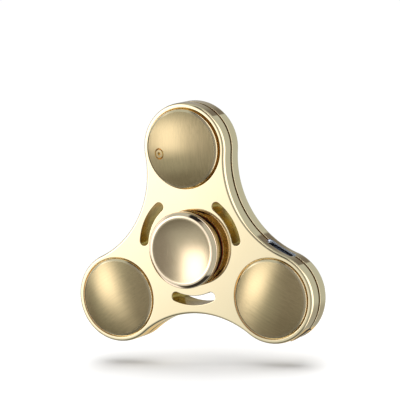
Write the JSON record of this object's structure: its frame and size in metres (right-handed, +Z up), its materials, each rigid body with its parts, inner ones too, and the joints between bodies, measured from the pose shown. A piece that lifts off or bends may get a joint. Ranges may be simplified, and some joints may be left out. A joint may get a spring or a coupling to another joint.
{
  "type": "fidget spinner",
  "caption": "Three-lobed polished pale gold fidget spinner with dished finger caps on a ball bearing, a sprung domed push button on one lobe, a side charging socket and a small recessed heater.",
  "frame": {"origin": "the centre of the hub on the spin axis, half way through the thickness, which is also the balance point", "axes": "+X to the right seen from the front, +Y from the front face to the rear along the spin axis, +Z up through the top lobe"},
  "size_m": [0.0676, 0.0174, 0.0616],
  "materials": {
    "polished_gold": "mirror polished pale gold plating on a die-cast body",
    "satin_gold": "radially brushed champagne gold",
    "cap_gold": "brushed dish with a polished rim, pale rose gold",
    "gasket": "dark compressed gasket",
    "steel": "plain bright steel",
    "bearing_steel": "ground bearing steel",
    "board": "green circuit board",
    "black_plastic": "black moulded plastic",
    "white_plastic": "off-white moulded plastic",
    "cell": "plain metal can of a rechargeable button cell",
    "ceramic": "unglazed off-white ceramic",
    "heater_wire": "dull resistance wire",
    "wire_cover": "soft insulated wire",
    "seal": "dark red-brown rubber bearing seal"
  },
  "bodies": {
    "hub": {"front_cap": "cap_gold", "rear_cap": "cap_gold", "joining_stud": "steel", "front_spacer": "polished_gold", "rear_spacer": "polished_gold", "bearing_inner_ring": "bearing_steel"},
    "rotor": {"front_shell": "polished_gold", "rear_shell": "polished_gold", "seam_gasket": "gasket", "front_cover_left": "satin_gold", "front_cover_right": "satin_gold", "rear_cover_top": "satin_gold", "rear_cover_left": "satin_gold", "rear_cover_right": "satin_gold", "button_spring": "steel", "tact_switch": "black_plastic", "switch_board": "board", "battery_cell": "cell", "battery_holder": "white_plastic", "charge_board": "board", "usb_shell": "steel", "usb_tongue": "black_plastic", "heater_bezel": "polished_gold", "heater_cup": "ceramic", "heater_coil": "heater_wire", "balance_weights": "steel", "battery_wires": "wire_cover", "shell_screws": "steel", "bearing_outer_ring": "bearing_steel", "front_seal": "seal", "rear_seal": "seal"},
    "cage": {"bearing_cage": "steel", "bearing_balls": "bearing_steel"},
    "button": {"button": "satin_gold"}
  },
  "joints": [
    {"name": "spin", "type": "hinge", "parent": "hub", "child": "rotor", "pos_m": [0, 0, 0], "axis": [0, 1, 0], "continuous": true},
    {"name": "cage_spin", "type": "hinge", "parent": "hub", "child": "cage", "pos_m": [0, 0, 0], "axis": [0, 1, 0], "continuous": true},
    {"name": "button_press", "type": "slide", "parent": "rotor", "child": "button", "axis": [0, 1, 0], "range_m": [0, 0.001], "stiffness_N_per_m": 1500, "springref_m": -0.001, "deforming": ["button_spring"]}
  ],
  "couplings": [
    {"joint": "cage_spin", "follows": "spin", "ratio": 0.632}
  ]
}
